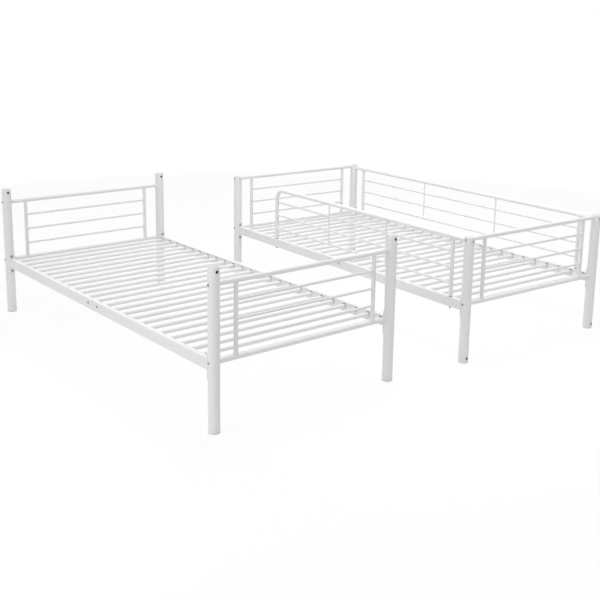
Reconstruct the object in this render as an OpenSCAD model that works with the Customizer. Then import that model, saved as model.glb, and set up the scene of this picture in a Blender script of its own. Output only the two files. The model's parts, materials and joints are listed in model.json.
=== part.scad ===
// Twin-over-twin bunk bed in steel tube, taken apart into its two single beds, in millimetres, +Z up.
// Each bed is drawn in its own frame: the head near post stands on the origin, +X runs to the foot and
// +Y to the far side. The pair is then placed about the bottom centre of its whole outline.

/* [Bed] */
// Distance between post centres along the bed, for a mattress 2000 long
post_span_x = 2040; // [1900:5:2150]
// Distance between post centres across the bed, for a mattress 900 wide
post_span_y = 970; // [850:5:1100]

/* [Placement of the pair] */
// How far the upper bed stands towards the foot from the lower bed
upper_bed_x = 52; // [0:1:200]
// How far the upper bed stands behind the lower bed
upper_bed_y = 1522; // [1300:1:2000]
// Turn of the upper bed about the vertical, in degrees
upper_bed_turn = -2.3; // [-4:0.1:4]

/* [Posts] */
// Outer diameter of the round posts
post_d = 50; // [42:1:60]
// Wall of the post tube
post_wall = 1.5; // [1.2:0.1:2.5]
// Height of the lower bed's posts
lower_post_h = 698; // [600:1:800]
// How far a lower post rises above the centre of its end frame's top tube
lower_post_rise = 72; // [60:1:110]
// Diameter of the cross hole for the stacking pin
stack_hole_d = 13; // [8:0.5:16]
// Centre of the stacking hole below the top of a lower post
stack_hole_drop = 18; // [15:1:40]
// Centre of the stacking hole above the bottom of an upper post
stack_hole_rise = 24; // [12:1:60]

/* [Foot and end caps] */
// Height of the foot cap's rim under the post
foot_rim_h = 6; // [4:0.5:12]
// Rounding of the foot cap's bottom edge
foot_edge_r = 2; // [1:0.5:3]
// Depth of the foot cap's skirt inside the post
foot_skirt_h = 20; // [10:1:40]
// Thickness of the flush cap in a post's end
end_cap_t = 2; // [1:0.5:4]
// Depth of an end cap inside the post, skirt included
end_cap_h = 6; // [4:0.5:7]
// Wall of the caps' skirts
cap_wall = 1.6; // [1:0.1:3]

/* [End frames] */
// Height of the bottom tube's centre in the upper bed's end frames
upper_frame_z = 298; // [240:1:360]
// Distance from the bottom tube's centre to the top tube's centre
frame_span = 324; // [310:1:350]
// Diameter of the top and bottom tubes of an end frame
frame_tube_d = 22; // [19:0.5:28]
// Wall of every frame and guard tube
tube_wall = 1.2; // [0.8:0.1:2]
// Diameter of the upright tubes of an end frame or guardrail
upright_d = 19; // [16:0.5:25]
// Distance from a post's centre to the nearest upright's centre
upright_inset = 107; // [80:1:118]
// Number of rods in a frame or guardrail
rods = 3; // [1:1:3]
// Distance between rods, and from the top tube to the first rod
rod_pitch = 81.5; // [60:0.5:85]
// Diameter of the rods
rod_d = 12.5; // [10:0.5:16]
// Wall of the rod tube
rod_wall = 0.9; // [0.7:0.1:1.5]

/* [Side rails] */
// Height of the lower bed's bottom frame tubes above the centre of its rails
lower_frame_over_rail = 16; // [0:1:22]
// Height of the upper bed's bottom frame tubes above the centre of its rails
upper_frame_over_rail = 12; // [0:1:22]
// Width of the rectangular rail tube
rail_w = 25; // [24:0.5:30]
// Height of the rectangular rail tube
rail_h = 50; // [46:1:60]
// Wall of the rail tube
rail_wall = 1.5; // [1.2:0.1:2.5]
// Inner corner radius of the rail tube
rail_inner_r = 1; // [0.5:0.1:3]
// Gap between the two halves of a rail
seam_gap = 0.6; // [0.2:0.1:2]

/* [Slats] */
// Number of slats in half a bed
slats_per_half = 12; // [8:1:14]
// Diameter of the slat tubes
slat_d = 19; // [16:0.5:22]
// Wall of the slat tubes
slat_wall = 1; // [0.8:0.1:1.5]
// Slack of a slat in its hole, on the diameter
slat_slack = 4; // [1:0.5:4]
// Height of the slat holes above the rail's centre
slat_hole_rise = 6.5; // [0:0.5:8]
// Distance from a post's centre to the first slat
slat_post_inset = 45; // [43:1:60]
// Distance from the rail seam to the nearest slat, which is bolted
slat_seam_inset = 45; // [35:1:60]

/* [Splice plates] */
// Half length of the plate inside each rail seam
splice_reach = 75; // [60:1:100]
// Thickness of the splice plate
splice_t = 2.5; // [2:0.1:4]

/* [Corner brackets] */
// Thickness of the saddle plate between post and rail
bracket_t = 3; // [2:0.1:4]
// Half of the angle that the saddle wraps round the post
bracket_half_angle = 56; // [45:1:58]
// Centre of the upper bolt above the rail's top
bracket_bolt_over = 11.5; // [11:0.5:20]
// Centre of the lower bolt below the rail's bottom
bracket_bolt_under = 21.5; // [11:0.5:30]
// Distance from a bolt's centre to the end of the saddle plate
bracket_edge = 15; // [10:0.5:20]
// Corner radius of the saddle plate
bracket_corner_r = 8; // [3:0.5:10]

/* [Guardrails] */
// Diameter of the guardrails' top tubes and of the bent tube
guard_tube_d = 22; // [19:0.5:25]
// Free height between the crossing bolts of a guardrail and an end frame
cross_bolt_gap = 1.5; // [1:0.1:4]
// Distance from the head near post to the bent tube's upright, the width of the entry
entry_span = 440; // [425:1:450]
// Least metal between the stud hole of a guardrail's upright and a slat hole
upright_slat_gap = 1; // [0.5:0.5:5]
// Bend radius of the near guardrail's bent tube
guard_bend_r = 62; // [50:1:64]
// Diameter of the thin spacers between the guardrail's tubes
spacer_d = 8; // [6:0.5:10]
// Distance from the near guardrail's foot upright to its spacers, and between them
near_spacer_pitch = 490; // [400:5:550]

/* [Fasteners] */
// Thread diameter of the frame, guardrail and seam bolts
small_bolt_d = 6; // [5:0.5:8]
// Head diameter of the frame, guardrail and seam bolts
small_head_d = 11; // [10:0.5:14]
// Head height of the frame, guardrail and seam bolts
small_head_h = 3.5; // [2.5:0.1:5]
// Width across the flats of the small bolts' sockets
small_socket_w = 4; // [3:0.5:5]
// Thread diameter of the bracket bolts
big_bolt_d = 8; // [6:0.5:8]
// Head diameter of the bracket bolts
big_head_d = 14; // [12:0.5:16]
// Head height of the bracket bolts
big_head_h = 5; // [4:0.1:6]
// Width across the flats of the bracket bolts' sockets
big_socket_w = 5; // [4:0.5:6]
// Reach of a bracket bolt past the saddle plate
big_bolt_reach = 20; // [18:1:22]
// Slack of a bolt in its hole, on the diameter
bolt_slack = 0.6; // [0.3:0.1:1]
// Length of the threaded plug in the end of a tube
plug_l = 15; // [10:1:25]
// Distance from a tube's mouth to its plug
plug_set_back = 2; // [1:0.5:5]
// Thickness of the flange on the plugs in the guardrails' feet
plug_flange_t = 3; // [1:0.5:4]
// Wall of the threaded insert in a post
insert_wall = 1.5; // [1:0.1:2]
// Length of the threaded insert
insert_l = 14; // [12:0.5:16]
// Width of the insert's collar against the inside of the post
insert_collar_w = 1.5; // [1:0.1:2.5]
// Length of the insert's collar
insert_collar_l = 4; // [2:0.5:6]

/* [Clearances] */
// Gap at a welded joint and between a plug and its tube
joint_gap = 0.2; // [0.1:0.05:0.4]

/* [Hidden] */

$fn = 48;
STEEL = "white";
ZINC = "silver";
PLASTIC = "whitesmoke";
EPS = 1;

post_r = post_d / 2;
post_bore_r = post_r - post_wall;
seam_x = post_span_x / 2;
saddle_r = post_r + joint_gap;
saddle_out_r = saddle_r + bracket_t;

lower_frame_z = lower_post_h - lower_post_rise - frame_span;
upper_post_h = upper_frame_z + frame_span + frame_tube_d / 2;
guard_z = upper_frame_z + frame_span - small_bolt_d - cross_bolt_gap;

// Heights above the centre of a rail
rail_top = rail_h / 2;
bracket_bolt_zs = [rail_top + bracket_bolt_over, -rail_top - bracket_bolt_under];
slat_rise = slat_hole_rise - slat_slack / 2 + joint_gap;

lower_rail_z = lower_frame_z - lower_frame_over_rail;
upper_rail_z = upper_frame_z - upper_frame_over_rail;
// Where the plugs in a guardrail's feet stand on the upper rails, and where its tubes stand on the plugs
guard_foot_z = upper_rail_z + rail_top + joint_gap;
guard_tube_z = guard_foot_z + plug_flange_t + joint_gap;
// Where the cap nuts meet the upper rails from below
cap_nut_z = guard_foot_z - rail_h - 2 * joint_gap;

slat_pitch = (seam_x - slat_post_inset - slat_seam_inset) / (slats_per_half - 1);
slat_hole_d = slat_d + slat_slack;
splice_face_y = rail_w / 2 - rail_wall - joint_gap - splice_t;
slat_end_y = splice_face_y - joint_gap;

small_hole_d = small_bolt_d + bolt_slack;
big_hole_d = big_bolt_d + bolt_slack;
insert_d = big_hole_d + 2 * insert_wall;
insert_collar_d = insert_d + 2 * insert_collar_w;
head_out = post_r + joint_gap + small_head_h;
plug_end = post_r + joint_gap + plug_set_back + plug_l;

// A place for a stud down through a rail: x, or the nearest place to it that clears the slat holes
function clear_of_slats(x) =
  let (
    slat_before = slat_post_inset + floor((x - slat_post_inset) / slat_pitch) * slat_pitch,
    reach = (slat_hole_d + small_hole_d) / 2 + upright_slat_gap
  )
  min(max(x, slat_before + reach), slat_before + slat_pitch - reach);

// Places of the guardrails' uprights and spacers along the rail
entry_x = clear_of_slats(entry_span);
guard_head_x = clear_of_slats(upright_inset);
guard_foot_x = post_span_x - guard_head_x;
far_spacer_xs = [for (k = [1, 2]) guard_head_x + k * (guard_foot_x - guard_head_x) / 3];
near_spacer_xs = [for (k = [2, 1]) guard_foot_x - k * near_spacer_pitch];

// Shape of a button head, in shares of its diameter and its height
HEAD_RIM = [0.5, 0.45];
HEAD_SHOULDER = [0.42, 0.8];
HEAD_FLAT = [0.3, 1];
SOCKET_DEPTH = 0.6;

// Shape of a cap nut, in shares of its thread's diameter: the dome's outline is from its foot up
CAP_NUT_W = 5 / 3;
CAP_NUT_HEX_H = 1.2;
CAP_NUT_BORE = 1.4;
CAP_NUT_DOME = [[0.78, 1.2], [0.76, 1.42], [0.68, 1.63], [0.55, 1.8], [0.38, 1.93], [0.2, 2]];

// The four corners of a bed, as [0 at the head or 1 at the foot, 0 near or 1 far]
CORNERS = [[0, 0], [0, 1], [1, 0], [1, 1]];
// The post corners that carry a guardrail's top tube
GUARD_CORNERS = [[0, 1], [1, 0], [1, 1]];

// Outline of the pair, which sets the origin
turn_s = sin(upper_bed_turn);
turn_c = cos(upper_bed_turn);
pair_x0 = -post_r;
pair_x1 = upper_bed_x + (post_span_x + head_out) * turn_c + max(0, -post_span_y * turn_s)
  + abs(turn_s) * small_head_d / 2;
pair_y0 = -head_out;
pair_y1 = upper_bed_y + (post_span_y + head_out) * turn_c + max(0, post_span_x * turn_s)
  + abs(turn_s) * small_head_d / 2;
pair_shift = [-(pair_x0 + pair_x1) / 2, -(pair_y0 + pair_y1) / 2, 0];

// Frames

module in_lower_bed() {
  translate(pair_shift) children();
}

module in_upper_bed() {
  translate(pair_shift + [upper_bed_x, upper_bed_y, 0]) rotate([0, 0, upper_bed_turn]) children();
}

// Lifts its children from the height of a rail's centre to the rails of a bed
module on_lower_rails() {
  in_lower_bed() translate([0, 0, lower_rail_z]) children();
}

module on_upper_rails() {
  in_upper_bed() translate([0, 0, upper_rail_z]) children();
}

// Draws its children, made for the head near corner, at another corner of the bed
module at_corner(corner) {
  translate([corner[0] * post_span_x, corner[1] * post_span_y, 0])
    mirror([corner[0], 0, 0])
      mirror([0, corner[1], 0])
        children();
}

// Lays children that run along +Z so that they run along +X or +Y
module along_x() {
  rotate([0, 90, 0]) children();
}

module along_y() {
  rotate([-90, 0, 0]) children();
}

// Shapes

module tube(d, wall, l) {
  difference() {
    cylinder(d = d, h = l);
    translate([0, 0, -EPS]) cylinder(d = d - 2 * wall, h = l + 2 * EPS);
  }
}

module rounded_rect(w, h, r) {
  square([w - 2 * r, h], center = true);
  square([w, h - 2 * r], center = true);
  for (sx = [-1, 1], sy = [-1, 1])
    translate([sx * (w / 2 - r), sy * (h / 2 - r)]) circle(r = r);
}

// Clears a joint: what a child meets, grown by the joint gap
module joint_cut(d, l) {
  translate([0, 0, -l / 2]) cylinder(d = d + 2 * joint_gap, h = l);
}

// A button-head bolt with its head's underside on the origin, its shank down -Z
module socket_bolt(d, head_d, head_h, socket_w, l) {
  color(ZINC) difference() {
    union() {
      rotate_extrude()
        polygon([
          [0, 0], [head_d * HEAD_RIM[0], 0],
          for (p = [HEAD_RIM, HEAD_SHOULDER, HEAD_FLAT]) [head_d * p[0], head_h * p[1]],
          [0, head_h],
        ]);
      translate([0, 0, -l]) cylinder(d = d, h = l + EPS);
    }
    translate([0, 0, head_h * (1 - SOCKET_DEPTH)])
      cylinder(d = socket_w / cos(30), h = head_h, $fn = 6);
  }
}

module small_bolt(l) {
  socket_bolt(small_bolt_d, small_head_d, small_head_h, small_socket_w, l);
}

// A cap nut with its face on the origin and its dome up +Z
module cap_nut() {
  dome_foot = CAP_NUT_DOME[0];
  dome_tip = CAP_NUT_DOME[len(CAP_NUT_DOME) - 1];
  color(ZINC) difference() {
    union() {
      cylinder(d = small_bolt_d * CAP_NUT_W / cos(30), h = small_bolt_d * CAP_NUT_HEX_H, $fn = 6);
      rotate_extrude()
        polygon(small_bolt_d * [
          [0, 0], [dome_foot[0], 0],
          for (p = CAP_NUT_DOME) p,
          [0, dome_tip[1]],
        ]);
    }
    translate([0, 0, -EPS]) cylinder(d = small_hole_d, h = small_bolt_d * CAP_NUT_BORE + EPS);
  }
}

// A threaded plug for the end of a tube, from the origin up +Z
module threaded_plug(tube_d, wall) {
  color(ZINC) difference() {
    cylinder(d = tube_d - 2 * wall - 2 * joint_gap, h = plug_l);
    translate([0, 0, -EPS]) cylinder(d = small_hole_d, h = plug_l + 2 * EPS);
  }
}

// Posts and caps, on the origin of a corner

module post_tube(z0, h, frame_z, rail_z) {
  color(STEEL) difference() {
    translate([0, 0, z0]) tube(post_d, post_wall, h - z0);
    for (z = [frame_z, frame_z + frame_span])
      translate([0, -post_d, z]) along_y() cylinder(d = small_hole_d, h = 2 * post_d);
    for (z = bracket_bolt_zs)
      translate([0, 0, rail_z + z]) along_x() cylinder(d = insert_d + joint_gap, h = post_d);
  }
}

module cross_hole(d, z) {
  translate([-post_d, 0, z]) along_x() cylinder(d = d, h = 2 * post_d);
}

module lower_post() {
  difference() {
    post_tube(foot_rim_h, lower_post_h, lower_frame_z, lower_rail_z);
    color(STEEL) cross_hole(stack_hole_d, lower_post_h - stack_hole_drop);
  }
}

module upper_post() {
  difference() {
    post_tube(0, upper_post_h, upper_frame_z, upper_rail_z);
    color(STEEL) cross_hole(stack_hole_d, stack_hole_rise);
    color(STEEL) cross_hole(small_hole_d, guard_z);
  }
}

module foot_cap() {
  skirt_r = post_bore_r - joint_gap;
  color(PLASTIC) rotate_extrude() difference() {
    union() {
      translate([0, foot_edge_r]) square([post_r, foot_rim_h - foot_edge_r]);
      square([post_r - foot_edge_r, foot_rim_h]);
      translate([post_r - foot_edge_r, foot_edge_r]) circle(r = foot_edge_r);
      square([skirt_r, foot_rim_h + foot_skirt_h]);
    }
    translate([-EPS, foot_rim_h / 2]) square([skirt_r - cap_wall + EPS, foot_rim_h + foot_skirt_h]);
    translate([-post_r, -EPS]) square([post_r, foot_rim_h + foot_skirt_h + 2 * EPS]);
  }
}

// A flush cap with its face on the origin and its skirt up +Z, into the post
module end_cap() {
  cap_r = post_bore_r - joint_gap;
  color(PLASTIC) difference() {
    cylinder(r = cap_r, h = end_cap_h);
    translate([0, 0, end_cap_t]) cylinder(r = cap_r - cap_wall, h = end_cap_h);
  }
}

module top_cap(post_h) {
  translate([0, 0, post_h]) mirror([0, 0, 1]) end_cap();
}

// End frames, in the plane of the head posts

module frame_tube(z) {
  color(STEEL) difference() {
    translate([0, 0, z]) along_y() tube(frame_tube_d, tube_wall, post_span_y);
    for (y = [0, post_span_y]) translate([0, y, z]) joint_cut(post_d, 2 * frame_tube_d);
  }
}

module frame_uprights(frame_z) {
  for (y = [upright_inset, post_span_y - upright_inset])
    color(STEEL) difference() {
      translate([0, y, frame_z]) tube(upright_d, tube_wall, frame_span);
      for (z = [frame_z, frame_z + frame_span])
        translate([0, y, z]) along_y() joint_cut(frame_tube_d, 2 * upright_d);
    }
}

module frame_rods(frame_z) {
  for (k = [1 : rods], z = [frame_z + frame_span - k * rod_pitch])
    color(STEEL) difference() {
      translate([0, upright_inset, z]) along_y() tube(rod_d, rod_wall, post_span_y - 2 * upright_inset);
      for (y = [upright_inset, post_span_y - upright_inset])
        translate([0, y, z]) joint_cut(upright_d, 2 * rod_d);
    }
}

module at_foot() {
  translate([post_span_x, 0, 0]) children();
}

// Side rails, as the head near half, its outer side towards -Y and its centre at height 0

module rail_half(uprights = []) {
  color(STEEL) difference() {
    along_x() linear_extrude(seam_x - seam_gap / 2) difference() {
      rounded_rect(rail_h, rail_w, rail_inner_r + rail_wall);
      rounded_rect(rail_h - 2 * rail_wall, rail_w - 2 * rail_wall, rail_inner_r);
    }
    cylinder(r = saddle_out_r + joint_gap, h = rail_h + 2 * EPS, center = true);
    for (i = [0 : slats_per_half - 1])
      translate([slat_post_inset + i * slat_pitch, 0, slat_hole_rise])
        along_y() cylinder(d = slat_hole_d, h = rail_w);
    translate([seam_x - slat_seam_inset, -rail_w, slat_rise])
      along_y() cylinder(d = small_hole_d, h = rail_w);
    for (x = uprights)
      translate([x, 0, 0]) cylinder(d = small_hole_d, h = rail_h + 2 * EPS, center = true);
  }
}

// Flat against the inside of the outer wall, between the roundings of the rail's inner corners
module splice_plate() {
  plate_h = rail_h - 2 * (rail_wall + rail_inner_r);
  color(ZINC) difference() {
    translate([seam_x - splice_reach, -splice_face_y - splice_t, -plate_h / 2])
      cube([2 * splice_reach, splice_t, plate_h]);
    for (s = [-1, 1])
      translate([seam_x + s * slat_seam_inset, -rail_w, slat_rise])
        along_y() cylinder(d = small_hole_d, h = rail_w);
  }
}

// Slats, of the head half

module half_slats() {
  for (i = [0 : slats_per_half - 1])
    color(STEEL) translate([slat_post_inset + i * slat_pitch, -slat_end_y, slat_rise])
      along_y() tube(slat_d, slat_wall, post_span_y + 2 * slat_end_y);
}

module mirrored_to_foot() {
  translate([post_span_x, 0, 0]) mirror([1, 0, 0]) children();
}

// Corner brackets and their fasteners, at the head near corner, from the rail's centre up and down

module corner_bracket() {
  h = bracket_bolt_zs[0] - bracket_bolt_zs[1] + 2 * bracket_edge;
  wrap_w = 2 * (saddle_r + bracket_t / 2) * sin(bracket_half_angle);
  color(STEEL) difference() {
    intersection() {
      translate([0, 0, bracket_bolt_zs[1] - bracket_edge])
        rotate([0, 0, -bracket_half_angle])
          rotate_extrude(angle = 2 * bracket_half_angle)
            translate([saddle_r, 0]) square([bracket_t, h]);
      translate([0, 0, (bracket_bolt_zs[0] + bracket_bolt_zs[1]) / 2]) along_x()
        linear_extrude(2 * post_d) rounded_rect(h, wrap_w, bracket_corner_r);
    }
    for (z = bracket_bolt_zs) translate([0, 0, z]) along_x() cylinder(d = big_hole_d, h = post_d);
  }
}

module corner_bracket_bolts() {
  for (z = bracket_bolt_zs)
    translate([saddle_out_r + joint_gap, 0, z]) along_x()
      socket_bolt(big_bolt_d, big_head_d, big_head_h, big_socket_w, big_bolt_reach);
}

module corner_inserts() {
  face_x = sqrt(pow(post_r, 2) - pow(insert_d / 2, 2));
  collar_x = sqrt(pow(post_bore_r, 2) - pow(insert_collar_d / 2, 2)) - joint_gap;
  for (z = bracket_bolt_zs)
    color(ZINC) translate([0, 0, z]) along_x() difference() {
      union() {
        translate([0, 0, face_x - insert_l]) cylinder(d = insert_d, h = insert_l);
        translate([0, 0, collar_x - insert_collar_l]) cylinder(d = insert_collar_d, h = insert_collar_l);
      }
      translate([0, 0, -EPS]) cylinder(d = big_hole_d, h = post_d);
    }
}

// Frame bolts and the plugs they screw into, at the head near corner

module corner_frame_bolts(frame_z) {
  for (z = [frame_z, frame_z + frame_span])
    translate([0, -post_r - joint_gap, z]) rotate([90, 0, 0])
      small_bolt(post_r + joint_gap + plug_end);
}

module corner_frame_plugs(frame_z) {
  for (z = [frame_z, frame_z + frame_span])
    translate([0, plug_end - plug_l, z]) along_y() threaded_plug(frame_tube_d, tube_wall);
}

// Bolts at the rail seam, which hold rail, splice plate and slat together, on the near side

module seam_bolt_pair() {
  for (s = [-1, 1])
    translate([seam_x + s * slat_seam_inset, -rail_w / 2 - joint_gap, slat_rise]) rotate([90, 0, 0])
      small_bolt(rail_w / 2 + joint_gap - slat_end_y + plug_set_back + plug_l);
}

module seam_plug_pair() {
  for (s = [-1, 1])
    translate([seam_x + s * slat_seam_inset, plug_set_back - slat_end_y, slat_rise])
      along_y() threaded_plug(slat_d, slat_wall);
}

// Guardrails. The far one is drawn on the near rail line and mirrored over.

module guard_tube_line(x0) {
  color(STEEL) difference() {
    translate([x0, 0, guard_z]) along_x() tube(guard_tube_d, tube_wall, post_span_x - x0);
    for (x = [0, post_span_x]) translate([x, 0, guard_z]) joint_cut(post_d, 2 * guard_tube_d);
  }
}

module guard_upright(x) {
  color(STEEL) difference() {
    translate([x, 0, guard_tube_z]) tube(upright_d, tube_wall, guard_z - guard_tube_z);
    translate([x, 0, guard_z]) along_x() joint_cut(guard_tube_d, 2 * upright_d);
  }
}

module guard_rods(x0, x0_d, x1) {
  for (k = [1 : rods], z = [upper_frame_z + frame_span - k * rod_pitch])
    color(STEEL) difference() {
      translate([x0, 0, z]) along_x() tube(rod_d, rod_wall, x1 - x0);
      translate([x0, 0, z]) joint_cut(x0_d, 2 * rod_d);
      translate([x1, 0, z]) joint_cut(upright_d, 2 * rod_d);
    }
}

module guard_spacers(xs) {
  last_rod_z = upper_frame_z + frame_span - rods * rod_pitch;
  for (x = xs)
    color(STEEL) difference() {
      translate([x, 0, last_rod_z]) cylinder(d = spacer_d, h = guard_z - last_rod_z);
      translate([x, 0, guard_z]) along_x() joint_cut(guard_tube_d, 2 * spacer_d);
      for (k = [1 : rods])
        translate([x, 0, upper_frame_z + frame_span - k * rod_pitch])
          along_x() joint_cut(rod_d, 2 * spacer_d);
    }
}

module bent_tube_solid(d) {
  translate([entry_x, 0, guard_tube_z]) cylinder(d = d, h = guard_z - guard_bend_r - guard_tube_z);
  translate([entry_x + guard_bend_r, 0, guard_z - guard_bend_r]) rotate([90, 0, 0])
    rotate([0, 0, 90]) rotate_extrude(angle = 90) translate([guard_bend_r, 0]) circle(d = d);
  translate([entry_x + guard_bend_r, 0, guard_z]) along_x()
    cylinder(d = d, h = post_span_x - entry_x - guard_bend_r);
}

module bent_tube_mouth() {
  translate([entry_x, 0, guard_tube_z - EPS]) cylinder(d = guard_tube_d - 2 * tube_wall, h = 2 * EPS);
}

module guard_bent_tube() {
  color(STEEL) difference() {
    bent_tube_solid(guard_tube_d);
    bent_tube_solid(guard_tube_d - 2 * tube_wall);
    bent_tube_mouth();
    translate([post_span_x, 0, guard_z]) joint_cut(post_d, 2 * guard_tube_d);
  }
}

// In the foot of a guardrail's tube: a threaded plug with its flange between the tube and the rail
module guard_foot_plug(x, tube_d) {
  color(ZINC) translate([x, 0, guard_foot_z]) difference() {
    union() {
      cylinder(d = tube_d, h = plug_flange_t);
      cylinder(d = tube_d - 2 * tube_wall - 2 * joint_gap, h = plug_flange_t + plug_l);
    }
    translate([0, 0, -EPS]) cylinder(d = small_hole_d, h = plug_flange_t + plug_l + 2 * EPS);
  }
}

// From inside the cap nut up through the rail to the end of the plug
module guard_stud(x) {
  z0 = cap_nut_z - small_bolt_d * CAP_NUT_BORE + joint_gap;
  z1 = guard_foot_z + plug_flange_t + plug_l;
  color(ZINC) translate([x, 0, z0]) cylinder(d = small_bolt_d, h = z1 - z0);
}

module guard_cap_nut(x) {
  translate([x, 0, cap_nut_z]) rotate([180, 0, 0]) cap_nut();
}

// At the head near corner, the bolt that would hold a guardrail's top tube to the post
module corner_guard_bolt() {
  translate([-post_r - joint_gap, 0, guard_z]) rotate([0, -90, 0]) small_bolt(post_r + joint_gap + plug_end);
}

module corner_guard_plug() {
  translate([plug_end - plug_l, 0, guard_z]) along_x() threaded_plug(guard_tube_d, tube_wall);
}

// Nodes

module lower_post_head_near() { in_lower_bed() at_corner([0, 0]) lower_post(); }
module lower_post_head_far() { in_lower_bed() at_corner([0, 1]) lower_post(); }
module lower_post_foot_near() { in_lower_bed() at_corner([1, 0]) lower_post(); }
module lower_post_foot_far() { in_lower_bed() at_corner([1, 1]) lower_post(); }
module upper_post_head_near() { in_upper_bed() at_corner([0, 0]) upper_post(); }
module upper_post_head_far() { in_upper_bed() at_corner([0, 1]) upper_post(); }
module upper_post_foot_near() { in_upper_bed() at_corner([1, 0]) upper_post(); }
module upper_post_foot_far() { in_upper_bed() at_corner([1, 1]) upper_post(); }

module lower_head_top_tube() { in_lower_bed() frame_tube(lower_frame_z + frame_span); }
module lower_head_bottom_tube() { in_lower_bed() frame_tube(lower_frame_z); }
module lower_head_uprights() { in_lower_bed() frame_uprights(lower_frame_z); }
module lower_head_rods() { in_lower_bed() frame_rods(lower_frame_z); }
module lower_foot_top_tube() { in_lower_bed() at_foot() frame_tube(lower_frame_z + frame_span); }
module lower_foot_bottom_tube() { in_lower_bed() at_foot() frame_tube(lower_frame_z); }
module lower_foot_uprights() { in_lower_bed() at_foot() frame_uprights(lower_frame_z); }
module lower_foot_rods() { in_lower_bed() at_foot() frame_rods(lower_frame_z); }
module upper_head_top_tube() { in_upper_bed() frame_tube(upper_frame_z + frame_span); }
module upper_head_bottom_tube() { in_upper_bed() frame_tube(upper_frame_z); }
module upper_head_uprights() { in_upper_bed() frame_uprights(upper_frame_z); }
module upper_head_rods() { in_upper_bed() frame_rods(upper_frame_z); }
module upper_foot_top_tube() { in_upper_bed() at_foot() frame_tube(upper_frame_z + frame_span); }
module upper_foot_bottom_tube() { in_upper_bed() at_foot() frame_tube(upper_frame_z); }
module upper_foot_uprights() { in_upper_bed() at_foot() frame_uprights(upper_frame_z); }
module upper_foot_rods() { in_upper_bed() at_foot() frame_rods(upper_frame_z); }

module lower_rail_head_near() { on_lower_rails() at_corner([0, 0]) rail_half(); }
module lower_rail_head_far() { on_lower_rails() at_corner([0, 1]) rail_half(); }
module lower_rail_foot_near() { on_lower_rails() at_corner([1, 0]) rail_half(); }
module lower_rail_foot_far() { on_lower_rails() at_corner([1, 1]) rail_half(); }
module upper_rail_head_near() { on_upper_rails() at_corner([0, 0]) rail_half([entry_x]); }
module upper_rail_head_far() { on_upper_rails() at_corner([0, 1]) rail_half([guard_head_x]); }
module upper_rail_foot_near() { on_upper_rails() at_corner([1, 0]) rail_half([guard_head_x]); }
module upper_rail_foot_far() { on_upper_rails() at_corner([1, 1]) rail_half([guard_head_x]); }

module lower_head_slats() { on_lower_rails() half_slats(); }
module lower_foot_slats() { on_lower_rails() mirrored_to_foot() half_slats(); }
module upper_head_slats() { on_upper_rails() half_slats(); }
module upper_foot_slats() { on_upper_rails() mirrored_to_foot() half_slats(); }

module on_both_sides() {
  for (side = [0, 1]) at_corner([0, side]) children();
}

module rail_splice_plates() {
  on_lower_rails() on_both_sides() splice_plate();
  on_upper_rails() on_both_sides() splice_plate();
}

module lower_corner_brackets() {
  on_lower_rails() for (corner = CORNERS) at_corner(corner) corner_bracket();
}

module upper_corner_brackets() {
  on_upper_rails() for (corner = CORNERS) at_corner(corner) corner_bracket();
}

module far_guard_top_tube() { in_upper_bed() at_corner([0, 1]) guard_tube_line(0); }
module far_guard_uprights() {
  in_upper_bed() at_corner([0, 1])
    for (x = [guard_head_x, guard_foot_x]) guard_upright(x);
}
module far_guard_rods() {
  in_upper_bed() at_corner([0, 1]) guard_rods(guard_head_x, upright_d, guard_foot_x);
}
module far_guard_spacers() { in_upper_bed() at_corner([0, 1]) guard_spacers(far_spacer_xs); }
module near_guard_bent_tube() { in_upper_bed() guard_bent_tube(); }
module near_guard_upright() { in_upper_bed() guard_upright(guard_foot_x); }
module near_guard_rods() { in_upper_bed() guard_rods(entry_x, guard_tube_d, guard_foot_x); }
module near_guard_spacers() { in_upper_bed() guard_spacers(near_spacer_xs); }

module frame_bolts() {
  in_lower_bed() for (corner = CORNERS) at_corner(corner) corner_frame_bolts(lower_frame_z);
  in_upper_bed() for (corner = CORNERS) at_corner(corner) corner_frame_bolts(upper_frame_z);
}

module frame_tube_plugs() {
  in_lower_bed() for (corner = CORNERS) at_corner(corner) corner_frame_plugs(lower_frame_z);
  in_upper_bed() for (corner = CORNERS) at_corner(corner) corner_frame_plugs(upper_frame_z);
}

module bracket_bolts() {
  on_lower_rails() for (corner = CORNERS) at_corner(corner) corner_bracket_bolts();
  on_upper_rails() for (corner = CORNERS) at_corner(corner) corner_bracket_bolts();
}

module bracket_inserts() {
  on_lower_rails() for (corner = CORNERS) at_corner(corner) corner_inserts();
  on_upper_rails() for (corner = CORNERS) at_corner(corner) corner_inserts();
}

module seam_bolts() {
  on_lower_rails() on_both_sides() seam_bolt_pair();
  on_upper_rails() on_both_sides() seam_bolt_pair();
}

module seam_slat_plugs() {
  on_lower_rails() on_both_sides() seam_plug_pair();
  on_upper_rails() on_both_sides() seam_plug_pair();
}

module guard_post_bolts() {
  in_upper_bed() for (corner = GUARD_CORNERS) at_corner(corner) corner_guard_bolt();
}

module guard_studs() {
  in_upper_bed() {
    for (x = [entry_x, guard_foot_x]) guard_stud(x);
    at_corner([0, 1]) for (x = [guard_head_x, guard_foot_x]) guard_stud(x);
  }
}

module guard_cap_nuts() {
  in_upper_bed() {
    for (x = [entry_x, guard_foot_x]) guard_cap_nut(x);
    at_corner([0, 1]) for (x = [guard_head_x, guard_foot_x]) guard_cap_nut(x);
  }
}

module guard_plugs() {
  in_upper_bed() {
    for (corner = GUARD_CORNERS) at_corner(corner) corner_guard_plug();
    guard_foot_plug(entry_x, guard_tube_d);
    guard_foot_plug(guard_foot_x, upright_d);
    at_corner([0, 1]) for (x = [guard_head_x, guard_foot_x]) guard_foot_plug(x, upright_d);
  }
}

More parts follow.
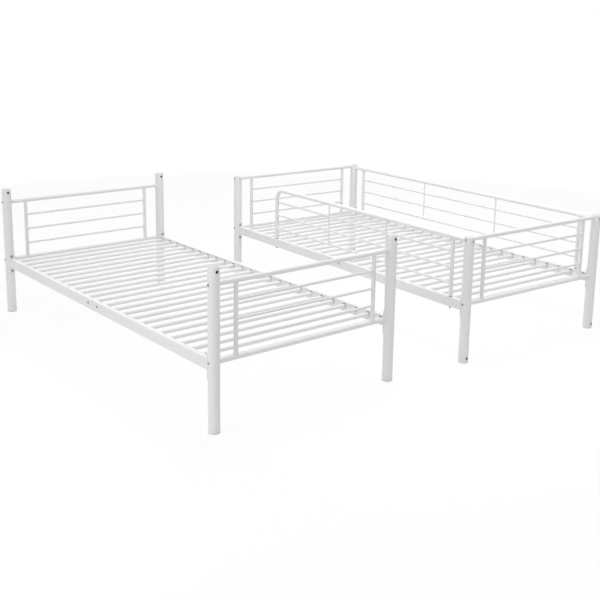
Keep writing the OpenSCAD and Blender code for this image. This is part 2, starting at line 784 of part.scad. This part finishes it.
module foot_caps() {
  in_lower_bed() for (corner = CORNERS) at_corner(corner) foot_cap();
}

module post_end_caps() {
  in_lower_bed() for (corner = CORNERS) at_corner(corner) top_cap(lower_post_h);
  in_upper_bed() for (corner = CORNERS) at_corner(corner) {
    top_cap(upper_post_h);
    end_cap();
  }
}

lower_post_head_near();
lower_post_head_far();
lower_post_foot_near();
lower_post_foot_far();
upper_post_head_near();
upper_post_head_far();
upper_post_foot_near();
upper_post_foot_far();
lower_head_top_tube();
lower_head_bottom_tube();
lower_head_uprights();
lower_head_rods();
lower_foot_top_tube();
lower_foot_bottom_tube();
lower_foot_uprights();
lower_foot_rods();
upper_head_top_tube();
upper_head_bottom_tube();
upper_head_uprights();
upper_head_rods();
upper_foot_top_tube();
upper_foot_bottom_tube();
upper_foot_uprights();
upper_foot_rods();
lower_rail_head_near();
lower_rail_head_far();
lower_rail_foot_near();
lower_rail_foot_far();
upper_rail_head_near();
upper_rail_head_far();
upper_rail_foot_near();
upper_rail_foot_far();
lower_head_slats();
lower_foot_slats();
upper_head_slats();
upper_foot_slats();
rail_splice_plates();
lower_corner_brackets();
upper_corner_brackets();
far_guard_top_tube();
far_guard_uprights();
far_guard_rods();
far_guard_spacers();
near_guard_bent_tube();
near_guard_upright();
near_guard_rods();
near_guard_spacers();
frame_bolts();
frame_tube_plugs();
bracket_bolts();
bracket_inserts();
seam_bolts();
seam_slat_plugs();
guard_post_bolts();
guard_studs();
guard_cap_nuts();
guard_plugs();
foot_caps();
post_end_caps();
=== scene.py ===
"""The looks of a steel bunk bed taken apart into its two single beds. Lengths are in metres.

The bed's own pieces come from the frame and get their finishes here: white powder coat, zinc-plated
fasteners and plastic caps. The weld beads that join the tubes are built on top of them.
"""
import json
import math

import bmesh
import bpy
from mathutils import Matrix, Vector, noise


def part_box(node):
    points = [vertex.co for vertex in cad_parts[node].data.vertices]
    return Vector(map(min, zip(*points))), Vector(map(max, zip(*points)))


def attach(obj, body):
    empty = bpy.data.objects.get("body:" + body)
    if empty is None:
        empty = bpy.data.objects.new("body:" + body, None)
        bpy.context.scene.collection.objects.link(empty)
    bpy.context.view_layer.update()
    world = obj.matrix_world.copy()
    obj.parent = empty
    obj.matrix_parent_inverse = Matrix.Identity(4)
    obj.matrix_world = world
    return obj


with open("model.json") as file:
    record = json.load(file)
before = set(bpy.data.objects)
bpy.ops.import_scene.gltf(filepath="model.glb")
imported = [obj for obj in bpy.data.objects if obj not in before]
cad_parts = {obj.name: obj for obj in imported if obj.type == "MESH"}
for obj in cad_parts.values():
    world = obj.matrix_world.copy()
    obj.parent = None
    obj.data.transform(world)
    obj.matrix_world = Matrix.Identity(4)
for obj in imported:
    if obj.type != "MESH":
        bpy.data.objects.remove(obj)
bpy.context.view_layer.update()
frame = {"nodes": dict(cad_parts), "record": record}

MM = 0.001
X, Y, Z = Vector((1, 0, 0)), Vector((0, 1, 0)), Vector((0, 0, 1))


def add_object(name, data):
    """A new object that holds the data, linked to the scene."""
    added = bpy.data.objects.new(name, data)
    bpy.context.scene.collection.objects.link(added)
    return added


# Camera, as fitted to the photograph

IMAGE_SIZE = 600
SENSOR = 36.0
FOCAL_PIXELS = 972.43
SHIFT_PIXELS = 72
CAMERA_PLACE = Vector((4.04356, -3.300781, 1.676322))
CAMERA_YAW = math.radians(50.986)
CAMERA_PITCH = math.radians(-12.547)
CAMERA_ROLL = math.radians(-0.89)


def make_camera():
    """Yaw is counted from +Y towards -X, so the camera looks towards the head end and the far side."""
    forward = Vector((
        -math.sin(CAMERA_YAW) * math.cos(CAMERA_PITCH),
        math.cos(CAMERA_YAW) * math.cos(CAMERA_PITCH),
        math.sin(CAMERA_PITCH),
    ))
    right = Vector((math.cos(CAMERA_YAW), math.sin(CAMERA_YAW), 0))
    down = forward.cross(right)
    image_right = math.cos(CAMERA_ROLL) * right + math.sin(CAMERA_ROLL) * down
    image_up = math.sin(CAMERA_ROLL) * right - math.cos(CAMERA_ROLL) * down
    data = bpy.data.cameras.new("camera")
    data.sensor_width = SENSOR
    data.lens = SENSOR * FOCAL_PIXELS / IMAGE_SIZE
    data.shift_y = -SHIFT_PIXELS / IMAGE_SIZE
    camera = add_object("camera", data)
    turn = Matrix((image_right, image_up, -forward)).transposed().to_4x4()
    camera.matrix_world = Matrix.Translation(CAMERA_PLACE) @ turn
    bpy.context.scene.camera = camera


# Materials


class Nodes:
    """A node tree with short calls for making and linking nodes."""

    def __init__(self, tree):
        self.tree = tree

    def link(self, output, node, name):
        self.tree.links.new(output, node.inputs[name])

    def add(self, kind, inputs=None, **settings):
        """A new node; an input is either another node's output, which is linked, or a value."""
        node = self.tree.nodes.new(kind)
        for name, value in settings.items():
            setattr(node, name, value)
        for name, value in (inputs or {}).items():
            if isinstance(value, bpy.types.NodeSocket):
                self.link(value, node, name)
            else:
                node.inputs[name].default_value = value
        return node

    def noise(self, place, scale, detail=2.0, roughness=0.5):
        """Noise between 0 and 1; its scale is about the number of its waves in a metre."""
        inputs = {"Vector": place, "Scale": scale, "Detail": detail, "Roughness": roughness}
        return self.add("ShaderNodeTexNoise", inputs).outputs["Fac"]

    def remap(self, value, low, high, to_low=0.0, to_high=1.0):
        inputs = {"Value": value, "From Min": low, "From Max": high, "To Min": to_low, "To Max": to_high}
        return self.add("ShaderNodeMapRange", inputs).outputs["Result"]

    def patches(self, place, scale, detail=2.0, low=0.3, high=0.7, to_low=0.0, to_high=1.0):
        """Noise with its middle range stretched out, so that it makes patches with plainer borders."""
        return self.remap(self.noise(place, scale, detail), low, high, to_low, to_high)

    def math(self, operation, a, b):
        return self.add("ShaderNodeMath", {0: a, 1: b}, operation=operation).outputs[0]

    def seen_ray(self):
        """1 for what the camera sees, straight or in a reflection, and 0 for the light on the bed."""
        rays = self.add("ShaderNodeLightPath").outputs
        mirrored = self.math("MAXIMUM", rays["Is Glossy Ray"], rays["Is Transmission Ray"])
        return self.math("MAXIMUM", rays["Is Camera Ray"], mirrored)

    def mix_colour(self, factor, a, b):
        """Colour a where the factor is 0 and colour b where it is 1."""
        node = self.add("ShaderNodeMix", {"Factor": factor}, data_type="RGBA")
        for name, value in (("A", a), ("B", b)):
            socket = next(s for s in node.inputs if s.name == name and s.type == "RGBA")
            if isinstance(value, bpy.types.NodeSocket):
                self.tree.links.new(value, socket)
            else:
                socket.default_value = (*value, 1)
        return next(s for s in node.outputs if s.type == "RGBA")

    def mix_shader(self, factor, a, b):
        return self.add("ShaderNodeMixShader", {0: factor, 1: a.outputs[0], 2: b.outputs[0]}).outputs[0]

    def show(self, surface, output_type):
        """Makes this surface the one that the tree's output shows."""
        output = next(node for node in self.tree.nodes if node.type == output_type)
        self.link(surface, output, "Surface")


def new_material(name):
    material = bpy.data.materials.new(name)
    material.use_nodes = True
    nodes = Nodes(material.node_tree)
    shader = material.node_tree.nodes["Principled BSDF"]
    place = nodes.add("ShaderNodeTexCoord").outputs["Object"]
    return material, nodes, shader, place


BEVEL_SAMPLES = 6
EDGE_STARTS = 0.995
EDGE_IS_FULL = 0.90


def rounded_normal(nodes, radius):
    """The surface's normal with its sharp edges rounded off."""
    return nodes.add("ShaderNodeBevel", {"Radius": radius}, samples=BEVEL_SAMPLES).outputs["Normal"]


def edge_mask(nodes, place, rounded, patch_scale):
    """About 1 on sharp edges, broken up by noise, and 0 on flat and round surfaces."""
    true_normal = nodes.add("ShaderNodeNewGeometry").outputs["Normal"]
    likeness = nodes.add("ShaderNodeVectorMath", {0: rounded, 1: true_normal}, operation="DOT_PRODUCT")
    edge = nodes.remap(likeness.outputs["Value"], EDGE_STARTS, EDGE_IS_FULL)
    worn_spots = nodes.patches(place, patch_scale, detail=3.0, low=0.42, high=0.62)
    return nodes.math("MULTIPLY", edge, worn_spots)


def painted_shade_mask(nodes, reach, samples, open_level, closed_level):
    """Mask for painted shade: 0 in the open and 1 where walls within reach leave little open air round a
    point.
    """
    open_air = nodes.add("ShaderNodeAmbientOcclusion", {"Distance": reach}, samples=samples)
    return nodes.remap(open_air.outputs["AO"], open_level, closed_level)


def set_bump(nodes, shader, rounded, height, distance, strength):
    inputs = {"Height": height, "Distance": distance, "Strength": strength, "Normal": rounded}
    nodes.link(nodes.add("ShaderNodeBump", inputs).outputs["Normal"], shader, "Normal")


WHITE = (0.84, 0.846, 0.851)
WHITE_DULL = (0.812, 0.818, 0.819)
WHITE_SPECK = (0.72, 0.72, 0.72)
WHITE_WORN = (0.56, 0.56, 0.565)
# Near black for hollows: partly the bare uncoated steel inside the tubes, partly painted shade
BARE_STEEL_AND_PAINTED_SHADE = (0.012, 0.012, 0.013)
COAT_EDGE_R = 0.8 * MM
COAT_SPECULAR = 0.75
SPECK_SHARE = 0.05
WORN_SHARE = 0.55
WORN_ROUGHNESS = 0.3
GRAIN_SHARE = 0.2


def powder_coat(name, peel_depth, peel_scale):
    """Satin white powder coat: orange peel, slow drifts of tone and thin coat on the sharp edges, with
    painted shade, near black, in hollows such as the tubes' insides, partly standing for their bare
    uncoated steel.
    """
    material, nodes, shader, place = new_material(name)
    rounded = rounded_normal(nodes, COAT_EDGE_R)
    drift = nodes.patches(place, scale=2.6, detail=3.0, low=0.35)
    colour = nodes.mix_colour(drift, WHITE, WHITE_DULL)
    specks = nodes.math("MULTIPLY", nodes.patches(place, scale=900.0), SPECK_SHARE)
    colour = nodes.mix_colour(specks, colour, WHITE_SPECK)
    worn = nodes.math("MULTIPLY", edge_mask(nodes, place, rounded, patch_scale=60.0), WORN_SHARE)
    colour = nodes.mix_colour(worn, colour, WHITE_WORN)
    # Painted shade: near black wherever walls crowd round a point, inside the tubes and in deep joints
    # alike
    painted_hollow_shade = painted_shade_mask(nodes, reach=80 * MM, samples=8, open_level=0.30, closed_level=0.12)
    colour = nodes.mix_colour(painted_hollow_shade, colour, BARE_STEEL_AND_PAINTED_SHADE)
    nodes.link(colour, shader, "Base Color")
    gloss = nodes.patches(place, scale=14.0, detail=4.0, to_low=0.27, to_high=0.37)
    roughness = nodes.math("ADD", gloss, nodes.math("MULTIPLY", worn, WORN_ROUGHNESS))
    nodes.link(roughness, shader, "Roughness")
    shader.inputs["Specular IOR Level"].default_value = COAT_SPECULAR
    peel = nodes.noise(place, peel_scale, detail=1.0, roughness=0.4)
    grain = nodes.math("MULTIPLY", nodes.noise(place, scale=1600.0), GRAIN_SHARE)
    set_bump(nodes, shader, rounded, nodes.math("ADD", peel, grain), distance=peel_depth, strength=0.5)
    return material


ZINC = (0.38, 0.385, 0.40)
ZINC_DULL = (0.25, 0.255, 0.265)
# Near black painted shade for the drive sockets and other small recesses
SOCKET_PAINTED_SHADE = (0.015, 0.015, 0.016)
ZINC_EDGE_R = 0.4 * MM
ZINC_METALLIC = 0.9


def zinc_fasteners():
    """Dark zinc plate with cloudy patches, a fine grain and painted shade, near black, in the drive
    sockets and other small recesses.
    """
    material, nodes, shader, place = new_material("zinc_plate")
    rounded = rounded_normal(nodes, ZINC_EDGE_R)
    clouds = nodes.patches(place, scale=160.0, detail=3.0, low=0.35, high=0.65)
    colour = nodes.mix_colour(clouds, ZINC, ZINC_DULL)
    # Painted shade: near black in the drive sockets and wherever walls close in within a few millimetres
    painted_socket_shade = painted_shade_mask(nodes, reach=2.2 * MM, samples=6, open_level=0.60, closed_level=0.30)
    colour = nodes.mix_colour(painted_socket_shade, colour, SOCKET_PAINTED_SHADE)
    nodes.link(colour, shader, "Base Color")
    shader.inputs["Metallic"].default_value = ZINC_METALLIC
    nodes.link(nodes.patches(place, scale=500.0, to_low=0.32, to_high=0.5), shader, "Roughness")
    grain = nodes.noise(place, scale=2500.0)
    set_bump(nodes, shader, rounded, grain, distance=0.03 * MM, strength=0.4)
    return material


PLASTIC = (0.70, 0.70, 0.705)
PLASTIC_SCUFFED = (0.58, 0.575, 0.57)
CAP_EDGE_R = 0.8 * MM
DRIFT_SHARE = 0.25


def plastic_caps():
    """Matt moulded plastic with a fine spark-eroded grain, scuffed on its edges."""
    material, nodes, shader, place = new_material("moulded_plastic")
    rounded = rounded_normal(nodes, CAP_EDGE_R)
    drift = nodes.math("MULTIPLY", nodes.patches(place, scale=30.0, detail=3.0, low=0.35), DRIFT_SHARE)
    scuffs = nodes.math("ADD", drift, edge_mask(nodes, place, rounded, patch_scale=90.0))
    nodes.link(nodes.mix_colour(scuffs, PLASTIC, PLASTIC_SCUFFED), shader, "Base Color")
    nodes.link(nodes.patches(place, scale=700.0, to_low=0.5, to_high=0.62), shader, "Roughness")
    grain = nodes.noise(place, scale=1500.0, detail=1.0)
    set_bump(nodes, shader, rounded, grain, distance=0.04 * MM, strength=0.5)
    return material


MATERIALS = {
    "white_steel": powder_coat("white_powder_coat", peel_depth=0.08 * MM, peel_scale=420.0),
    "coated_welds": powder_coat("powder_coat_on_welds", peel_depth=0.14 * MM, peel_scale=700.0),
    "zinc_fasteners": zinc_fasteners(),
    "plastic_caps": plastic_caps(),
}


def finish_cad_nodes():
    """Each of the bed's own pieces gets the material of its slot in the record."""
    slots = {part["node"]: part["material_slot"] for part in frame["record"]["subparts"]}
    for name, obj in frame["nodes"].items():
        obj.data.materials.clear()
        obj.data.materials.append(MATERIALS[slots[name]])


# Sizes and places of the steel that the weld beads join


def half_size(node, axis):
    """Half of a CAD node's size along an axis of the frame, with 0 for X, 1 for Y and 2 for Z."""
    low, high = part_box(node)
    return (high[axis] - low[axis]) / 2


POST_R = half_size("lower_post_head_near", 0)
TUBE_R = half_size("lower_head_top_tube", 0)
UPRIGHT_R = half_size("lower_head_uprights", 0)
ROD_R = half_size("lower_head_rods", 0)
SPACER_R = 4 * MM
RAIL_HALF_W = half_size("lower_rail_head_near", 1)
RAIL_HALF_H = half_size("lower_rail_head_near", 2)
RAIL_CORNER_R = 2.5 * MM
JOINT_GAP = 0.2 * MM
SADDLE_WALL = 3 * MM
SADDLE_R = POST_R + JOINT_GAP + SADDLE_WALL


def box_centre(node):
    low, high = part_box(node)
    return (Vector(low) + Vector(high)) / 2


def bed_frame(bed):
    """A bed's own frame: its head near post on the origin, +X to the foot and +Y to the far side."""
    head = box_centre(f"{bed}_post_head_near")
    foot = box_centre(f"{bed}_post_foot_near")
    along = Vector((foot.x - head.x, foot.y - head.y, 0)).normalized()
    across = Z.cross(along)
    turn = Matrix((along, across, Z)).transposed().to_4x4()
    return Matrix.Translation((head.x, head.y, 0)) @ turn


BEDS = {bed: bed_frame(bed) for bed in ("lower", "upper")}
SPAN_X = (box_centre("lower_post_foot_near") - box_centre("lower_post_head_near")).length
SPAN_Y = (box_centre("lower_post_head_far") - box_centre("lower_post_head_near")).length


def along_upper_bed(x):
    """Distance from the head near post along the upper bed's near side, of a place given by its x."""
    bed = BEDS["upper"]
    return (x - bed.translation.x) / bed.col[0].x


def rod_heights(node):
    """The three rods' heights, from the top one down."""
    low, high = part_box(node)
    first, last = high.z - ROD_R, low.z + ROD_R
    return [first, (first + last) / 2, last]


# Weld beads: a bead's leg is its width on each of the two pieces that it joins

UPRIGHT_LEG = 2.2 * MM
ROD_LEG = 1.9 * MM
SPACER_LEG = 1.3 * MM
RAIL_LEG = 2.6 * MM
RIPPLE = 2.2 * MM
STEPS_PER_RIPPLE = 3
RIPPLE_HEIGHT = 0.08
UNEVENNESS = 0.16
UNEVENNESS_SCALE = 260
FULLNESS = 0.62
BEAD_POINTS = (0.0, 0.3, 0.7, 1.0)
SUNK = 0.15 * MM
ROOT_DEPTH = 0.4 * MM


def joint(at, branch, run):
    """A place with its origin at a joint, its +Z along the branch tube and its +X along the run tube."""
    return Matrix.Translation(at) @ Matrix((run, branch.cross(run), branch)).transposed().to_4x4()


def seam_step(corner, up, outward, run_normal):
    """A step of a seam: its corner, the way up the branch and out along the run, and both normals."""
    out = (outward - run_normal * outward.dot(run_normal)).normalized()
    return corner, up, out, outward, run_normal


def rounded_rectangle(half_w, half_h, r, step):
    """Points round a rounded rectangle in Y and Z, each with its outward direction."""
    outline = []
    for quarter, (side_y, side_z) in enumerate(((1, 1), (-1, 1), (-1, -1), (1, -1))):
        centre = Vector((0, side_y * (half_w - r), side_z * (half_h - r)))
        arc_steps = max(2, round(math.pi / 2 * r / step))
        for k in range(arc_steps):
            angle = math.pi / 2 * (quarter + k / arc_steps)
            outward = Vector((0, math.cos(angle), math.sin(angle)))
            outline.append((centre + outward * r, outward))
        angle = math.pi / 2 * (quarter + 1)
        outward = Vector((0, math.cos(angle), math.sin(angle)))
        length = 2 * (half_w - r) if quarter % 2 == 0 else 2 * (half_h - r)
        side_steps = round(length / step)
        for k in range(side_steps):
            outline.append((centre + outward * r + X.cross(outward) * length * k / side_steps, outward))
    return outline


class Beads:
    """A mesh of weld beads, each swept round one seam between two pieces of steel."""

    def __init__(self, bed):
        self.bed = BEDS[bed]
        self.mesh = bmesh.new()

    def sweep(self, place, seam, leg):
        """A closed bead round the seam, rippled and a little uneven, with its root sunk into the steel."""
        rings = []
        turns = max(1, round(len(seam) / STEPS_PER_RIPPLE))
        for k, (corner, up, out, outward, run_normal) in enumerate(seam):
            ripple = RIPPLE_HEIGHT * math.sin(2 * math.pi * turns * k / len(seam))
            uneven = UNEVENNESS * noise.noise((place @ corner) * UNEVENNESS_SCALE)
            size = leg * (1 + ripple + uneven)
            start = corner + up * size - outward * SUNK
            end = corner + out * size - run_normal * SUNK
            middle = corner + (up + out) * size * FULLNESS
            ring = [start * (1 - t) ** 2 + middle * 2 * t * (1 - t) + end * t ** 2 for t in BEAD_POINTS]
            ring.append(corner - (outward + run_normal) * ROOT_DEPTH)
            rings.append([self.mesh.verts.new(self.bed @ place @ point) for point in ring])
        for k, ring in enumerate(rings):
            after = rings[(k + 1) % len(rings)]
            for j, vertex in enumerate(ring):
                i = (j + 1) % len(ring)
                face = self.mesh.faces.new((vertex, ring[i], after[i], after[j]))
                face.smooth = True

    def tube_end(self, place, branch_r, run_r, leg):
        """Round the end of a branch tube along the place's +Z, on a run tube along its +X."""
        steps = STEPS_PER_RIPPLE * round(2 * math.pi * branch_r / RIPPLE)
        seam = []
        for k in range(steps):
            angle = 2 * math.pi * k / steps
            outward = Vector((math.cos(angle), math.sin(angle), 0))
            side = branch_r * outward.y
            corner = Vector((branch_r * outward.x, side, math.sqrt(run_r ** 2 - side ** 2)))
            run_normal = Vector((0, corner.y, corner.z)) / run_r
            seam.append(seam_step(corner, Z, outward, run_normal))
        self.sweep(place, seam, leg)

    def rail_end(self, place, leg):
        """Round the end of a rail along the place's +X, on the saddle of its corner bracket."""
        step = RIPPLE / STEPS_PER_RIPPLE
        seam = []
        for point, outward in rounded_rectangle(RAIL_HALF_W, RAIL_HALF_H, RAIL_CORNER_R, step):
            corner = Vector((math.sqrt(SADDLE_R ** 2 - point.y ** 2), point.y, point.z))
            run_normal = Vector((corner.x, corner.y, 0)) / SADDLE_R
            seam.append(seam_step(corner, X, outward, run_normal))
        self.sweep(place, seam, leg)

    def finish(self, name):
        """Makes the beads a piece of the scene."""
        bmesh.ops.recalc_face_normals(self.mesh, faces=self.mesh.faces)
        data = bpy.data.meshes.new(name)
        self.mesh.to_mesh(data)
        self.mesh.free()
        data.materials.append(MATERIALS["coated_welds"])
        piece = add_object(name, data)
        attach(piece, "root")


def weld_brackets(bed):
    """The rails' ends on the corner brackets; the foot end is the head end mirrored."""
    beads = Beads(bed)
    z = box_centre(f"{bed}_rail_head_near").z
    for x, along in ((0, 1), (SPAN_X, -1)):
        for y in (0, SPAN_Y):
            beads.rail_end(Matrix.Translation((x, y, z)) @ Matrix.Diagonal((along, 1, 1, 1)), RAIL_LEG)
    beads.finish(f"{bed}_bracket_welds")


def weld_end_frame(bed, end):
    """The uprights between the top and bottom tubes, and the rods between the uprights."""
    beads = Beads(bed)
    x = SPAN_X if end == "foot" else 0
    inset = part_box("lower_head_uprights")[0][1] + UPRIGHT_R - BEDS["lower"].translation.y
    top = box_centre(f"{bed}_{end}_top_tube").z
    bottom = box_centre(f"{bed}_{end}_bottom_tube").z
    for y, inwards in ((inset, Y), (SPAN_Y - inset, -Y)):
        beads.tube_end(joint((x, y, top), -Z, Y), UPRIGHT_R, TUBE_R, UPRIGHT_LEG)
        beads.tube_end(joint((x, y, bottom), Z, Y), UPRIGHT_R, TUBE_R, UPRIGHT_LEG)
        for z in rod_heights(f"{bed}_{end}_rods"):
            beads.tube_end(joint((x, y, z), inwards, Z), ROD_R, UPRIGHT_R, ROD_LEG)
    beads.finish(f"{bed}_{end}_frame_welds")


def weld_spacers(beads, xs, y, tube_z, rod_zs):
    """The ends of the thin spacers between a guardrail's top tube and its rods."""
    for x in xs:
        beads.tube_end(joint((x, y, tube_z), -Z, X), SPACER_R, TUBE_R, SPACER_LEG)
        for z in rod_zs:
            beads.tube_end(joint((x, y, z), Z, X), SPACER_R, ROD_R, SPACER_LEG)
        for z in rod_zs[:-1]:
            beads.tube_end(joint((x, y, z), -Z, X), SPACER_R, ROD_R, SPACER_LEG)


def weld_guardrails():
    """The far guardrail, and the near one, whose bent tube comes down at the entry gap."""
    tube_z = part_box("far_guard_top_tube")[0][2] + TUBE_R
    foot_x = along_upper_bed(box_centre("near_guard_upright").x)
    head_x = SPAN_X - foot_x
    entry_x = along_upper_bed(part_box("near_guard_bent_tube")[0][0] + TUBE_R)
    rod_zs = rod_heights("far_guard_rods")

    far = Beads("upper")
    for x, inwards in ((head_x, X), (foot_x, -X)):
        far.tube_end(joint((x, SPAN_Y, tube_z), -Z, X), UPRIGHT_R, TUBE_R, UPRIGHT_LEG)
        for z in rod_zs:
            far.tube_end(joint((x, SPAN_Y, z), inwards, Z), ROD_R, UPRIGHT_R, ROD_LEG)
    thirds = [head_x + k * (foot_x - head_x) / 3 for k in (1, 2)]
    weld_spacers(far, thirds, SPAN_Y, tube_z, rod_zs)
    far.finish("far_guard_welds")

    near = Beads("upper")
    near.tube_end(joint((foot_x, 0, tube_z), -Z, X), UPRIGHT_R, TUBE_R, UPRIGHT_LEG)
    for z in rod_zs:
        near.tube_end(joint((foot_x, 0, z), -X, Z), ROD_R, UPRIGHT_R, ROD_LEG)
        near.tube_end(joint((entry_x, 0, z), X, Z), ROD_R, TUBE_R, ROD_LEG)
    low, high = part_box("near_guard_spacers")
    places = [along_upper_bed(low[0] + SPACER_R), along_upper_bed(high[0] - SPACER_R)]
    weld_spacers(near, places, 0, tube_z, rod_zs)
    near.finish("near_guard_welds")


def make_welds():
    for bed in BEDS:
        weld_brackets(bed)
        for end in ("head", "foot"):
            weld_end_frame(bed, end)
    weld_guardrails()


# Studio

PURE_WHITE = (1, 1, 1, 1)
FLOOR_RADIUS = 40.0
FLOOR_SIDES = 96
SHADOW_FLOOR_RADIUS = 3.2
PURE_WHITE_RADIUS = 5.5
SEEN_FLOOR_WHITENESS = 0.70
FLOOR_SEEN = (0.98, 0.98, 0.98)
FLOOR_LIT = (0.86, 0.86, 0.86)
FLOOR_GLOW = 1.04
FLOOR_ROUGHNESS = 0.9
FLOOR_SPECULAR = 0.1


def floor_material():
    """Pale grey as light on the bed, whiter where it is seen, and the background's white further out."""
    material, nodes, shader, place = new_material("floor")
    nodes.link(nodes.mix_colour(nodes.seen_ray(), FLOOR_LIT, FLOOR_SEEN), shader, "Base Color")
    shader.inputs["Roughness"].default_value = FLOOR_ROUGHNESS
    shader.inputs["Specular IOR Level"].default_value = FLOOR_SPECULAR
    glow = nodes.add("ShaderNodeEmission", {"Color": PURE_WHITE, "Strength": FLOOR_GLOW})
    distance = nodes.add("ShaderNodeVectorMath", {0: place}, operation="LENGTH").outputs["Value"]
    far_out = nodes.remap(distance, SHADOW_FLOOR_RADIUS, PURE_WHITE_RADIUS)
    whiteness = nodes.math("MAXIMUM", far_out, SEEN_FLOOR_WHITENESS)
    fade = nodes.math("MULTIPLY", whiteness, nodes.seen_ray())
    nodes.show(nodes.mix_shader(fade, shader, glow), "OUTPUT_MATERIAL")
    return material


def make_floor():
    """A round pale floor that takes the bed's shadow."""
    ring = [2 * math.pi * k / FLOOR_SIDES for k in range(FLOOR_SIDES)]
    vertices = [(FLOOR_RADIUS * math.cos(a), FLOOR_RADIUS * math.sin(a), 0) for a in ring]
    mesh = bpy.data.meshes.new("floor")
    mesh.from_pydata(vertices, [], [tuple(range(FLOOR_SIDES))])
    mesh.materials.append(floor_material())
    floor = add_object("floor", mesh)


WORLD_LIGHT = 0.04


def make_world():
    """White where it is seen, straight or in a reflection, and a faint even light on the bed."""
    world = bpy.data.worlds.new("studio")
    world.use_nodes = True
    nodes = Nodes(world.node_tree)
    lit = world.node_tree.nodes["Background"]
    lit.inputs["Color"].default_value = (WORLD_LIGHT, WORLD_LIGHT, WORLD_LIGHT, 1)
    seen = nodes.add("ShaderNodeBackground", {"Color": PURE_WHITE, "Strength": 1.0})
    nodes.show(nodes.mix_shader(nodes.seen_ray(), lit, seen), "OUTPUT_WORLD")
    bpy.context.scene.world = world


def add_light(name, kind, towards_light, place=(0, 0, 0)):
    """A light that shines from the side towards_light; its place only matters to a light that is near."""
    light = add_object(name, bpy.data.lights.new(name, kind))
    turn = Vector(towards_light).to_track_quat("Z", "Y").to_matrix().to_4x4()
    light.matrix_world = Matrix.Translation(place) @ turn
    return light


def studio_sun(name, towards_light, level, spread):
    """Even soft light from far away; level is about the grey it gives to a white face square to it."""
    light = add_light(name, "SUN", towards_light)
    light.data.energy = math.pi * level
    light.data.angle = math.radians(spread)


def softbox(name, place, target, width, height, power):
    """A soft rectangular light near the bed, with its power in watts."""
    light = add_light(name, "AREA", Vector(place) - Vector(target), place)
    light.data.shape = "RECTANGLE"
    light.data.size = width
    light.data.size_y = height
    light.data.energy = power
    light.visible_camera = False


def make_lights():
    studio_sun("key", (0.2, -0.1, 0.95), level=0.66, spread=130)
    studio_sun("front_left", (-0.1, -0.9, 0.35), level=0.09, spread=40)
    studio_sun("behind", (-0.72, 0.62, 0.35), level=0.24, spread=80)
    softbox("near_side", (0.9, -3.8, 1.0), target=(0.9, -1.2, 0.4), width=1.4, height=1.4, power=12)
    softbox("over_upper_bed", (0.3, 0.2, 2.3), target=(0.1, 1.1, 0.3), width=1.8, height=1.0, power=15)


make_camera()
make_world()
make_lights()
make_floor()
finish_cad_nodes()
make_welds()

bpy.context.scene.view_settings.view_transform = "Standard"
